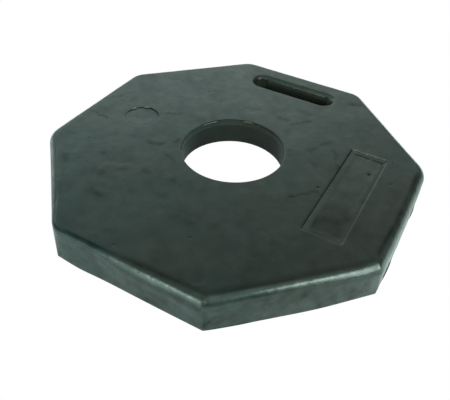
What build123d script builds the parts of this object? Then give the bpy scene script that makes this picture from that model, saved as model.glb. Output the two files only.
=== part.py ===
"""Octagonal rubber bollard base: a heavy moulded block with a bore for the
post, a hand slot, and two blank inlays let into pockets in its top face.

Millimetres. +Z is up, the floor is z = 0 and the bore axis is the Z axis.
The flats of the octagon face +-X, +-Y and the diagonals. The hand slot lies
on the +Y side, the long inlay on the +X side and the round one on the -X side.
"""
import os

from build123d import *

# ---------------------------------------------------------------- dimensions
ACROSS_FLATS = 400.0      # octagon, flat to flat
HEIGHT = 37.3             # floor to top face
RIM_RADIUS = 12.8         # roll-over of the top edge
SHOULDER = 23.5           # height where the plan corner reaches its full radius
CORNER_FLOOR = 2.0        # plan corner radius at the floor: nearly sharp
CORNER_TOP = 28.0         # plan corner radius at the shoulder: well rounded

BORE_RADIUS = 58.6        # straight wall that the post passes through
BORE_LIP = 1.0            # rounding of the bore's mouth
FOOT_RADIUS = 80.0        # underside recess for the post's foot
FOOT_DEPTH = 5.2
FOOT_ROOT = 1.5           # rounding in the recess's inner corner

SLOT_LENGTH = 108.8       # hand slot's straight wall, end to end
SLOT_WIDTH = 25.2
SLOT_X = 3.6
SLOT_Y = 155.1
SLOT_LIP = 2.0            # rounding of the slot's lower mouth
MOUTH_LENGTH = 119.8      # sloped upper mouth, measured in the top face
MOUTH_WIDTH = 34.6
MOUTH_X = 4.4
MOUTH_Y = 156.0
MOUTH_DEPTH = 3.75        # how far down the slope reaches

PLATE_LENGTH = 146.8      # long inlay's pocket, along Y
PLATE_WIDTH = 40.0        # along X
PLATE_X = 136.1
PLATE_Y = -2.4
PLATE_POCKET = 4.0        # pocket depth below the top face
PLATE_THICK = 3.5         # inlay thickness: its rim sits 0.5 below the top face
PLATE_CORNER = 1.8        # plan corner radius of pocket
FIELD_LENGTH = 136.0      # plain field sunk in the inlay's face
FIELD_WIDTH = 30.5
FIELD_X = 137.5
FIELD_Y = -3.6
FIELD_DEPTH = 0.25
FIELD_CORNER = 3.0

DISC_RADIUS = 20.0        # round inlay's pocket
DISC_X = -125.8
DISC_Y = -0.9
DISC_POCKET = 3.6
DISC_THICK = 3.1          # its face sits 0.5 below the top face

INLAY_GAP = 0.2           # glue line around each inlay

os.makedirs("parts", exist_ok=True)


# --------------------------------------------------------------- rubber body
# Three stacked outlines: nearly sharp corners on the floor, opening into round
# corners at the shoulder, which then run straight up to the top face.
with BuildPart() as rubber_body:
    for level, corner in ((0.0, CORNER_FLOOR), (SHOULDER, CORNER_TOP), (HEIGHT, CORNER_TOP)):
        with BuildSketch(Plane.XY.offset(level)):
            RegularPolygon(ACROSS_FLATS / 2.0, 8, major_radius=False, rotation=22.5)
            fillet(vertices(), radius=corner)
    loft(ruled=True)

    # roll the top edge over
    fillet(faces().sort_by(Axis.Z)[-1].edges(), radius=RIM_RADIUS)

    # bore right through, then the recess under it for the foot of the post
    with BuildSketch(Plane.XY):
        Circle(BORE_RADIUS)
    extrude(amount=HEIGHT, mode=Mode.SUBTRACT)
    with BuildSketch(Plane.XY):
        Circle(FOOT_RADIUS)
    extrude(amount=FOOT_DEPTH, mode=Mode.SUBTRACT)

    # hand slot right through, opening into a sloped mouth at the top
    with BuildSketch(Plane.XY):
        with Locations((SLOT_X, SLOT_Y)):
            SlotOverall(SLOT_LENGTH, SLOT_WIDTH)
    extrude(amount=HEIGHT, mode=Mode.SUBTRACT)
    with BuildSketch(Plane.XY.offset(HEIGHT - MOUTH_DEPTH)) as mouth_low:
        with Locations((SLOT_X, SLOT_Y)):
            SlotOverall(SLOT_LENGTH, SLOT_WIDTH)
    with BuildSketch(Plane.XY.offset(HEIGHT)) as mouth_high:
        with Locations((MOUTH_X, MOUTH_Y)):
            SlotOverall(MOUTH_LENGTH, MOUTH_WIDTH)
    loft([mouth_low.sketch.face(), mouth_high.sketch.face()], ruled=True, mode=Mode.SUBTRACT)

    # round the mouths: bore on top, slot underneath
    bore_mouth = (
        edges().filter_by(GeomType.CIRCLE)
        .filter_by(lambda e: abs(e.radius - BORE_RADIUS) < 1e-3 and abs(e.center().Z - HEIGHT) < 1e-3)
    )
    fillet(bore_mouth, radius=BORE_LIP)
    slot_box = (SLOT_LENGTH / 2.0 + 1.0, SLOT_WIDTH / 2.0 + 1.0)
    slot_mouths = edges().filter_by(
        lambda e: abs(e.center().X - SLOT_X) < slot_box[0]
        and abs(e.center().Y - SLOT_Y) < slot_box[1]
        and abs(e.center().Z) < 1e-3
    )
    fillet(slot_mouths, radius=SLOT_LIP)
    foot_root = (
        edges().filter_by(GeomType.CIRCLE)
        .filter_by(lambda e: abs(e.radius - FOOT_RADIUS) < 1e-3 and abs(e.center().Z - FOOT_DEPTH) < 1e-3)
    )
    fillet(foot_root, radius=FOOT_ROOT)

    # pockets for the two inlays
    with BuildSketch(Plane.XY.offset(HEIGHT - PLATE_POCKET)):
        with Locations((PLATE_X, PLATE_Y)):
            RectangleRounded(PLATE_WIDTH, PLATE_LENGTH, PLATE_CORNER)
    extrude(amount=PLATE_POCKET, mode=Mode.SUBTRACT)
    with BuildSketch(Plane.XY.offset(HEIGHT - DISC_POCKET)):
        with Locations((DISC_X, DISC_Y)):
            Circle(DISC_RADIUS)
    extrude(amount=DISC_POCKET, mode=Mode.SUBTRACT)
rubber_body.part.label = "rubber_body"
export_step(rubber_body.part, "parts/rubber_body.step")

# --------------------------------------------------------------- long inlay
# A blank moulded plate bonded to the pocket floor, with a sunk plain field.
plate_floor = HEIGHT - PLATE_POCKET
with BuildPart() as inlay_plate:
    with BuildSketch(Plane.XY.offset(plate_floor)):
        with Locations((PLATE_X, PLATE_Y)):
            RectangleRounded(
                PLATE_WIDTH - 2 * INLAY_GAP,
                PLATE_LENGTH - 2 * INLAY_GAP,
                PLATE_CORNER - INLAY_GAP,
            )
    extrude(amount=PLATE_THICK)
    chamfer(faces().sort_by(Axis.Z)[-1].edges(), length=0.4)
    with BuildSketch(Plane.XY.offset(plate_floor + PLATE_THICK)):
        with Locations((FIELD_X, FIELD_Y)):
            RectangleRounded(FIELD_WIDTH, FIELD_LENGTH, FIELD_CORNER)
    extrude(amount=-FIELD_DEPTH, taper=45, mode=Mode.SUBTRACT)
inlay_plate.part.label = "inlay_plate"
export_step(inlay_plate.part, "parts/inlay_plate.step")

# -------------------------------------------------------------- round inlay
# A blank moulded disc bonded to its pocket.
disc_floor = HEIGHT - DISC_POCKET
with BuildPart() as inlay_disc:
    with BuildSketch(Plane.XY.offset(disc_floor)):
        with Locations((DISC_X, DISC_Y)):
            Circle(DISC_RADIUS - INLAY_GAP)
    extrude(amount=DISC_THICK)
    chamfer(faces().sort_by(Axis.Z)[-1].edges(), length=0.4)
inlay_disc.part.label = "inlay_disc"
export_step(inlay_disc.part, "parts/inlay_disc.step")
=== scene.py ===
import math

import bmesh
import bpy
import numpy as np
from mathutils import Matrix, Vector
from mathutils.geometry import delaunay_2d_cdt


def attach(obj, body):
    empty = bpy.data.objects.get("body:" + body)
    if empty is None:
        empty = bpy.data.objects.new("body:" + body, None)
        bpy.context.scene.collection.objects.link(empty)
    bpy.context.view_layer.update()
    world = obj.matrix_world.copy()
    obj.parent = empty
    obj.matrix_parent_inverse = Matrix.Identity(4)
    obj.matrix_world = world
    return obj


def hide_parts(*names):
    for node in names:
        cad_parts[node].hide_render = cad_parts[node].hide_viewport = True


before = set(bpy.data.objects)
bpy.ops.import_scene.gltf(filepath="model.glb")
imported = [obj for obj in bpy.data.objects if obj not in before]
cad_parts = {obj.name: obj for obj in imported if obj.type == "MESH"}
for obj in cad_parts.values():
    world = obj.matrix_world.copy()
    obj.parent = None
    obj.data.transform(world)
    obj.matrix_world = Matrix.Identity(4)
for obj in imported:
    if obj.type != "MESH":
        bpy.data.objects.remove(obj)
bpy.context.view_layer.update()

MM = 0.001

# ------------------------------------------------------------------ sizes, mm
H = 37.3                 # floor to top face
AP = 200.0               # centre to flat
RC_FLOOR = np.array([2.0, 2.0, 2.0, 2.0, 2.0, 2.0, 2.0, 4.0])     # plan corner radius at the floor
RC_TOP = np.array([31.0, 25.0, 28.0, 28.0, 28.0, 28.0, 19.0, 8.0])     # plan corner radius at the shoulder, corner by corner as below
TOP_MIN = 2.0            # least plan radius left at the corners of the flat top face

BORE_R = 58.6            # straight wall
FOOT_R, FOOT_D = 80.0, 5.2

SLOT_X, SLOT_Y = 4.0, 156.9
SLOT_A, SLOT_R = 41.0, 16.5      # half the straight run, and the end radius
SLOT_SLOPE = 57.0                # how far the sloped mouth leans from level, degrees
SLOT_ARRIS = 3.75                # depth where the slope breaks into the straight wall

PL_X, PL_Y, PL_W, PL_L, PL_C = 136.1, -2.4, 40.0, 146.8, 1.8
PL_FLOOR = H - 4.0
PL_DROP = 0.5                    # how far the inlay's face lies below the top face
FIELD = (122.3, 152.8, -71.6, 64.4)

DI_X, DI_Y, DI_R = -125.8, -0.9, 20.0
DI_FLOOR = H - 3.6
DI_DROP = 0.5                    # the same for the round inlay, which leans down towards +Y
DI_LEAN = 0.022

# how far each side's foot stands out, mm: 0 faces +X, then every 45 degrees anticlockwise.
# The even swell of the whole side, then one local swell: its height, place (-1..1) and width.
BULGE = ((0.9, 0.0, -0.75, 0.25), (0.4, 0.5, 0.3, 0.3), (0.4, 0.4, -0.5, 0.3), (0.7, 0.5, 0.4, 0.3),
         (0.4, 0.4, 0.5, 0.3), (0.2, 0.0, 0.6, 0.3), (0.7, 1.3, -0.66, 0.26), (2.3, 0.7, 0.28, 0.36))
# thin flash along the floor: side, place (-1..1), width, and how far it stands out, mm
FLASH = ((0, -0.60, 0.18, 0.8), (0, 0.57, 0.13, 0.7), (7, -0.74, 0.24, 0.4))
# outward flare of the corners' feet, mm: 0 lies between sides 0 and 1
FLARE = (0.0, 0.0, 0.0, 0.0, 0.0, 0.2, 0.0, 0.0)
# radius of the rolled top edge, mm, at the corners and at the middle of the sides
RIM_CORNER = (12.6, 13.2, 12.6, 13.2, 13.4, 5.5, 15.0, 14.5)
RIM_SIDE = (11.5, 13.2, 13.0, 13.4, 13.0, 12.4, 12.5, 13.6)


# --------------------------------------------------------------- plain helpers
def noise2(x, y, scale, seed):
    """Smooth seeded noise in -1..1 over the plane, with features about `scale` mm wide."""
    n = 128
    lattice = np.random.default_rng(seed).uniform(-1, 1, (n, n))
    u, v = np.asarray(x) / scale + 37.3, np.asarray(y) / scale + 51.7
    i, j = np.floor(u).astype(int), np.floor(v).astype(int)
    a, b = u - i, v - j
    a, b = a * a * a * (a * (6 * a - 15) + 10), b * b * b * (b * (6 * b - 15) + 10)
    p = lambda di, dj: lattice[(i + di) % n, (j + dj) % n]
    return (p(0, 0) * (1 - a) + p(1, 0) * a) * (1 - b) + (p(0, 1) * (1 - a) + p(1, 1) * a) * b


def smooth(t):
    t = np.clip(t, 0.0, 1.0)
    return t * t * (3 - 2 * t)


# small pits in the moulded top face: x, y, radius, depth
PITS = (
    (107.7, -12.1, 2.4, 0.26),
    (171.0, 32.9, 2.7, 0.2),
    (162.6, 71.8, 1.2, 0.25),
    (-20.4, -185.0, 1.4, 0.3),
    (33.4, -141.3, 1.3, 0.3),
    (-88.0, 92.0, 0.9, 0.3),
    (-150.0, -70.0, 1.0, 0.35),
)
PLATE_PITS = ((146.7, 38.0, 3.0, 0.5), (153.4, 64.0, 1.6, 0.4))

# smears on the top face: from x, y to x, y, half width in mm, strength (below zero is paler)
SMEARS = (
    (-149, -109, -144, -114, 3.5, 0.9), (-124, -147, -116, -156, 2.2, 0.6), (-102, -112, -95, -110, 4.6, 0.8), (-86, -96, -75, -87, 2.9, 0.6),
    (-88, -139, -73, -142, 4.4, 0.8), (-73, -142, -72, -129, 3.3, 0.6), (-92, -131, -82, -124, 2.2, 0.5), (-86, -41, -73, -37, 3.7, 0.8),
    (-61, -45, -45, -56, 1.9, 0.8), (-62, -16, -61, -24, 2.2, 0.9), (-60, -84, -53, -86, 2.9, 0.7), (-33, -81, -15, -83, 1.8, 0.7), (-103, 21, -89, 29, 2.2, 1.0),
    (-188, -24, -160, -27, 1.9, 0.9), (-191, 8, -176, 23, 2.5, 0.7), (-180, -79, -168, -69, 3.7, 0.5), (-134, -50, -109, -37, 2.5, 0.4),
    (-120, -84, -102, -86, 3.0, 0.5), (-55, -119, -48, -118, 3.3, 0.4), (-33, -109, -21, -108, 3.3, 0.5), (-41, -153, -33, -151, 3.1, 0.4),
    (17, 86, 28, 87, 3.0, 0.9), (38, 81, 51, 97, 2.4, 0.8), (31, 116, 46, 113, 2.8, 0.6), (36, 63, 40, 68, 2.4, 0.6),
    (82, 163, 91, 169, 4.3, 0.8), (74, 42, 89, 70, 3.0, 0.7), (82, 26, 93, 21, 2.7, 0.8), (98, 58, 115, 31, 1.7, 0.8),
    (87, -40, 109, -19, 1.7, 1.0), (74, -20, 93, -23, 2.3, 0.4), (55, -89, 61, -82, 3.2, 0.4), (7, -125, 23, -125, 2.6, 0.4),
    (89, -129, 96, -130, 2.5, 0.4), (45, -116, 47, -97, 2.6, 0.5), (100, -97, 109, -101, 2.1, -0.5), (88, -101, 96, -105, 2.1, -0.5),
    (-108, -100, -79, -83, 1.6, -0.7), (-100, -120, -107, -93, 1.6, -0.5), (-149, -98, -149, -81, 3.6, -0.5), (-72, -129, -79, -115, 1.8, -0.6),
    (-23, 74, -5, 85, 2.7, -0.5), (93, 8, 101, 5, 2.4, -0.4), (66, -187, 70, -181, 1.5, -0.9), (62, -186, 66, -184, 1.2, -0.6), (70, -178, 71, -177, 1.2, -0.5), (96, -80, 109, -84, 2.1, -0.3),
)

# broad cloudy patches: x, y, radius, strength
PATCHES = ((165, -50, 48, 0.5), (110, -125, 55, 0.4), (-105, 125, 62, 0.5), (-25, 182, 45, 0.4), (45, 185, 40, 0.25),
           (-125, 20, 45, 0.2), (-145, 52, 42, 0.35), (-62, 46, 20, 0.4), (60, -20, 30, -0.15), (-60, -165, 45, -0.3), (-20, -172, 34, -0.3), (-42, 66, 8, 0.8), (-170, 86, 9, 0.9),
           (-44, 79, 11, 0.55), (-90, -60, 15, 0.45), (-188, 18, 10, 0.5), (-104, -34, 14, 0.4), (-80, -87, 10, 0.4), (-30, 79, 9, 0.4),
           (-61, -23, 5, 0.8), (55, 30, 3.5, 1.4), (58, 22, 3.5, 0.8), (-126, -81, 10, 0.4), (-185, -38, 9, 0.45), (-128, 134, 9, 0.45), (-22, 183, 9, 0.5),
           (-187, 52, 9, 0.45), (-173, 77, 10, 0.45), (-154, 37, 10, 0.4), (170, 48, 8, 0.45), (-39, 60, 5, 0.6))

# painted shade (above zero) and painted light (below zero) on the sides, much of the shade near the foot: side, place
# along it (-1..1), height, half width and half height in mm, strength
SIDE_SHADE_AND_LIGHT = ((0, -0.85, 0, 26, 9, 3.2), (0, -0.75, 20, 26, 7, -0.9), (0, 0.78, 2, 28, 11, 2.0), (0, 0.82, 23, 16, 8, 0.5), (6, 0.38, 2, 14, 6, 0.9),
          (6, 0.02, 2, 12, 5, -0.6), (6, -0.35, 10, 20, 7, 0.3), (7, 0.0, 23, 30, 7, 0.8), (7, -0.45, 14, 22, 8, 0.3), (7, 0.72, 12, 20, 12, 0.4),
          (6, 0.28, 3, 26, 8, 0.6), (6, 0.72, 6, 26, 9, 0.6), (7, -0.88, 13, 18, 9, 0.7), (7, -0.42, 3, 28, 8, 0.6), (7, 0.42, 5, 18, 8, 0.7), (7, 0.66, 3, 12, 6, 0.4),
          (6, 0.35, 13, 18, 6, 0.45), (7, -0.92, 10, 10, 9, 0.45), (7, -0.66, 20, 14, 7, 0.5), (7, 0.45, 25, 16, 6, 0.4),
          (7, -0.96, 9, 6, 6, 0.6), (7, -0.76, 3, 14, 6, -0.5), (7, -0.46, 5, 9, 5, 0.5),
          (7, 0.8, 16, 8, 5, 0.45), (7, -0.87, 19, 6, 5, 0.5), (7, 0.1, 23, 6, 4, 0.5), (6, 0.55, 15, 8, 5, 0.45), (6, 0.63, 23, 6, 4, -0.6))


def smears(x, y):
    """Strength of the hand-rubbed smears and of the dirt in the pits at points of the top face."""
    out = np.zeros(len(x))
    wx = x + 1.8 * noise2(x, y, 8.0, 71) + 1.2 * noise2(x, y, 3.5, 74)
    wy = y + 1.8 * noise2(x, y, 8.0, 72) + 1.2 * noise2(x, y, 3.5, 75)
    for x0, y0, x1, y1, w, k in SMEARS:
        d = np.array([x1 - x0, y1 - y0], float)
        u = np.clip(((wx - x0) * d[0] + (wy - y0) * d[1]) / max(d @ d, 1e-6), 0, 1)
        r = np.hypot(wx - x0 - u * d[0], wy - y0 - u * d[1]) / (1.2 * w)
        out += 1.4 * k * np.exp(-r ** 2)
    out *= 1 + 0.5 * noise2(x, y, 6.0, 73)
    for px, py, r, k in PATCHES:
        out += k * np.exp(-((x - px) ** 2 + (y - py) ** 2) / r ** 2)
    for px, py, r, d in PITS + PLATE_PITS:
        out += 9.0 * d * np.exp(-(np.hypot(x - px, y - py) / (0.9 * r)) ** 2 * 1.6)
    return out


def swell(x, y):
    """Slow unevenness of the moulded top face, mm."""
    return 0.16 * noise2(x, y, 62.0, 3) + 0.09 * noise2(x, y, 27.0, 5) + 0.03 * noise2(x, y, 11.0, 8)


def settle(p):
    """Carries every point of the block and its inlays with the top face's unevenness."""
    p = np.array(p, float)
    w = smooth(p[:, 2] / H)
    dz = swell(p[:, 0], p[:, 1])
    for x, y, r, d in PITS:
        q = np.hypot(p[:, 0] - x, p[:, 1] - y) / r
        dz = dz - d * np.exp(-(q ** 2) * 1.6) * (p[:, 2] > H - 0.5)
    p[:, 2] += w * dz
    return p


def rim_radius(k, u):
    """Radius of the rolled edge on side k, with u running -1..1 anticlockwise along it."""
    a, m, b = np.array(RIM_CORNER)[k - 1], np.array(RIM_SIDE)[k], np.array(RIM_CORNER)[k]
    r = m + (b - a) / 2 * u + ((a + b) / 2 - m) * u * u
    # the -Y side keeps a tight edge on its left part
    return np.where(np.equal(k, 6), 6.0 + (np.maximum(r, 11.8) - 6.0) * smooth((u + 0.55) / 0.52) + (r - np.maximum(r, 11.8)) * smooth((u - 0.3) / 0.3) - 0.5 * smooth((-0.5 - u) / 0.5), r)


NORMALS = np.array([[math.cos(k * math.pi / 4), math.sin(k * math.pi / 4)] for k in range(8)])
CORNERS = np.array([np.linalg.solve(NORMALS[[k, (k + 1) % 8]], [1.0, 1.0]) for k in range(8)])


def worn(p):
    """Where the top of the near right and near left corners is worn back: shift of each point, mm."""
    a = p @ np.array([-NORMALS[7][1], NORMALS[7][0]])
    d = np.minimum(np.maximum(a - 61.0, 0.0) ** 2 / 190.0, 4.8) * smooth((130.0 - a) / 40.0) * smooth((p @ NORMALS[7] - 60.0) / 60.0)
    e = 2.4 * smooth((-p[:, 0] - 1.0) / 43.0) * smooth((130.0 + p[:, 0]) / 40.0) * smooth((-p[:, 1] - 60.0) / 60.0)
    return np.c_[-0.8 * e, d * math.sqrt(2.0) + e]


def outline(rc, foot=0.0, roll=0.0, flash=0.0, n_side=70, n_corner=12):
    """Rounded octagon, anticlockwise from the corner after the +X side: points, outward normals, rim radius.
    The rim's roll has come in by `roll` times its radius."""
    pts, nrm, rad = [], [], []
    rc = np.broadcast_to(np.asarray(rc, float), (8,))
    inset = roll * np.array(RIM_CORNER)
    rc = np.maximum(rc - inset, np.minimum(rc, TOP_MIN))
    c = CORNERS * (AP - inset - rc)[:, None]
    for k in range(8):
        for t in np.linspace(k * math.pi / 4, (k + 1) * math.pi / 4, n_corner):
            n = np.array([math.cos(t), math.sin(t)])
            pts.append(c[k] + n * (rc[k] + foot * FLARE[k]))
            nrm.append(n)
            rad.append(RIM_CORNER[k])
        j = (k + 1) % 8
        n = NORMALS[j]
        p0, p1 = c[k] + rc[k] * n, c[j] + rc[j] * n
        even, local, at, width = BULGE[j]
        for u in np.linspace(-1, 1, n_side + 2)[1:-1]:
            d = even * (1 - u * u) + local * math.exp(-((u - at) / width) ** 2) * float(smooth((1 - abs(u)) / 0.12))
            d += FLARE[k] * math.exp(-(1 + u) / 0.1) + FLARE[j] * math.exp(-(1 - u) / 0.1)
            d += flash * sum(v * math.exp(-((u - mid) / width) ** 4) for side, mid, width, v in FLASH if side == j)
            q = p0 + (p1 - p0) * (u + 1) / 2
            rad.append(float(rim_radius(j, u)))
            pts.append(q + n * (AP - roll * rad[-1] + foot * d - q @ n))
            nrm.append(n)
    pts = np.array(pts)
    pts += (1 - foot) * worn(pts)
    return pts, np.array(nrm), np.array(rad)


def circle(x, y, r, n):
    t = np.linspace(0, 2 * math.pi, n, endpoint=False)
    return np.c_[x + r * np.cos(t), y + r * np.sin(t)]


def stadium(n_end=30, n_run=44):
    """Slot outline, anticlockwise: points at the end radius, and outward normals."""
    pts, nrm = [], []
    for s in (1, -1):
        for t in np.linspace(-math.pi / 2, math.pi / 2, n_end):
            n = (s * math.cos(t), s * math.sin(t))
            pts.append((SLOT_X + s * SLOT_A + SLOT_R * n[0], SLOT_Y + SLOT_R * n[1]))
            nrm.append(n)
        for u in np.linspace(1, -1, n_run + 2)[1:-1]:
            pts.append((SLOT_X + s * SLOT_A * u, SLOT_Y + s * SLOT_R))
            nrm.append((0, s))
    return np.array(pts), np.array(nrm)


def in_loop(p, loop):
    """Which points lie inside a closed loop."""
    out = np.zeros(len(p), bool)
    lo, hi = loop.min(0), loop.max(0)
    near = np.where(((p >= lo) & (p <= hi)).all(1))[0]
    x, y = p[near, 0], p[near, 1]
    got = np.zeros(len(near), bool)
    for (x0, y0), (x1, y1) in zip(loop, np.roll(loop, -1, 0)):
        if y0 != y1:
            got ^= ((y0 > y) != (y1 > y)) & (x < (x1 - x0) * (y - y0) / (y1 - y0) + x0)
    out[near] = got
    return out


def rounded_box(x, y, w, l, rc, n_c=5, step=2.0):
    """Rounded rectangle, anticlockwise."""
    hw, hl = w / 2 - rc, l / 2 - rc
    corners = ((hw, -hl, -math.pi / 2), (hw, hl, 0.0), (-hw, hl, math.pi / 2), (-hw, -hl, math.pi))
    out = []
    for k, (cx, cy, a) in enumerate(corners):
        arc = [(x + cx + rc * math.cos(a + t), y + cy + rc * math.sin(a + t)) for t in np.linspace(0, math.pi / 2, n_c)]
        out += arc
        nx, ny, na = corners[(k + 1) % 4]
        q0, q1 = np.array(arc[-1]), np.array((x + nx + rc * math.cos(na), y + ny + rc * math.sin(na)))
        n = max(2, int(round((144.0 if k % 2 == 0 else 40.0) / step)))
        out += [tuple(q0 + (q1 - q0) * u) for u in np.linspace(0, 1, n + 1)[1:-1]]
    return np.array(out)


def lift(xy, z):
    z = np.broadcast_to(np.asarray(z, float), (len(xy),))
    return np.c_[xy, z]


class Shell:
    """Collects strips and flat regions, then welds them into one closed mesh."""

    def __init__(self):
        self.v, self.f, self.n = [], [], 0

    def add(self, pts, faces):
        self.v.append(np.asarray(pts, float))
        self.f += [tuple(int(i) + self.n for i in f) for f in faces]
        self.n += len(pts)

    def strip(self, loops):
        """Quads between closed loops that have one point for one point."""
        m = len(loops[0])
        faces = []
        for r in range(len(loops) - 1):
            for i in range(m):
                j = (i + 1) % m
                faces.append((r * m + i, r * m + j, (r + 1) * m + j, (r + 1) * m + i))
        self.add(np.concatenate(loops), faces)

    def region(self, outer, holes, inside, z, pitch, extra=(), clear=1.0, down=False):
        """Flat region bounded by loops, filled with an even triangle net at `pitch` mm."""
        loops = [outer, *holes]
        pts, edges = [], []
        for loop in loops:
            base = len(pts)
            pts += [tuple(p) for p in loop]
            edges += [(base + i, base + (i + 1) % len(loop)) for i in range(len(loop))]
        lo, hi = outer.min(0), outer.max(0)
        rows = np.arange(lo[1], hi[1], pitch * math.sqrt(3) / 2)
        net = np.concatenate([
            np.c_[np.arange(lo[0] + (pitch / 2 if k % 2 else 0.0), hi[0], pitch),
                  np.full(len(np.arange(lo[0] + (pitch / 2 if k % 2 else 0.0), hi[0], pitch)), y)]
            for k, y in enumerate(rows)])
        net = net[inside(net) > clear]
        if len(extra):
            extra = np.asarray(extra, float)
            extra = extra[inside(extra) > clear * 0.6]
            far = np.min(np.hypot(net[:, None, 0] - extra[None, :, 0], net[:, None, 1] - extra[None, :, 1]), 1) > pitch * 0.45
            net = np.concatenate([net[far], extra])
        pts += [tuple(p) for p in net]
        got = delaunay_2d_cdt([Vector(p) for p in pts], edges, [], 1, 1e-7)
        xy = np.array([(p.x, p.y) for p in got[0]])
        tri = [f for f in got[2]]
        q = xy[np.array(tri)]
        area = 0.5 * np.abs((q[:, 1, 0] - q[:, 0, 0]) * (q[:, 2, 1] - q[:, 0, 1]) - (q[:, 2, 0] - q[:, 0, 0]) * (q[:, 1, 1] - q[:, 0, 1]))
        keep = area > 1e-4
        for hole in holes:
            keep &= ~in_loop(q.mean(1), hole)
        faces = [tuple(reversed(f)) if down else tuple(f) for f, k in zip(tri, keep) if k]
        self.add(lift(xy, z), faces)

    def mesh(self, name, weld=2e-3, after=None):
        v = np.concatenate(self.v)
        me = bpy.data.meshes.new(name)
        me.from_pydata([tuple(p) for p in v], [], self.f)
        bm = bmesh.new()
        bm.from_mesh(me)
        bmesh.ops.remove_doubles(bm, verts=bm.verts, dist=weld)
        loose = [w for w in bm.verts if not w.link_faces]
        bmesh.ops.delete(bm, geom=loose, context="VERTS")
        bmesh.ops.recalc_face_normals(bm, faces=bm.faces)
        bm.to_mesh(me)
        bm.free()
        co = np.zeros(len(me.vertices) * 3)
        me.vertices.foreach_get("co", co)
        co = co.reshape(-1, 3)
        if after is not None:
            co = after(co)
        me.vertices.foreach_set("co", (co * MM).ravel())
        me.update()
        return me


def mouth(deg):
    """Bore mouth by direction: its rolled radius, how whole it is (0..1), and how deep the groove under it."""
    sx = np.sin(np.radians(deg))
    far = smooth((sx + 0.45) / 0.9)
    span = lambda a, b, e=2.0: smooth((deg - a) / e) * smooth((b - deg) / e)
    whole = np.clip(span(94, 108) + 0.9 * span(136, 162) + (1 - smooth((sx + 0.1) / 0.4)), 0, 1)
    whole = np.clip(whole + 0.10 * far * noise2(deg, 0 * deg, 6.0, 21), 0, 1)
    torn = (1 - whole) * far * (1 - 0.75 * span(106, 138, 5.0))
    return 0.7 + 0.4 * far, whole, torn


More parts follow.
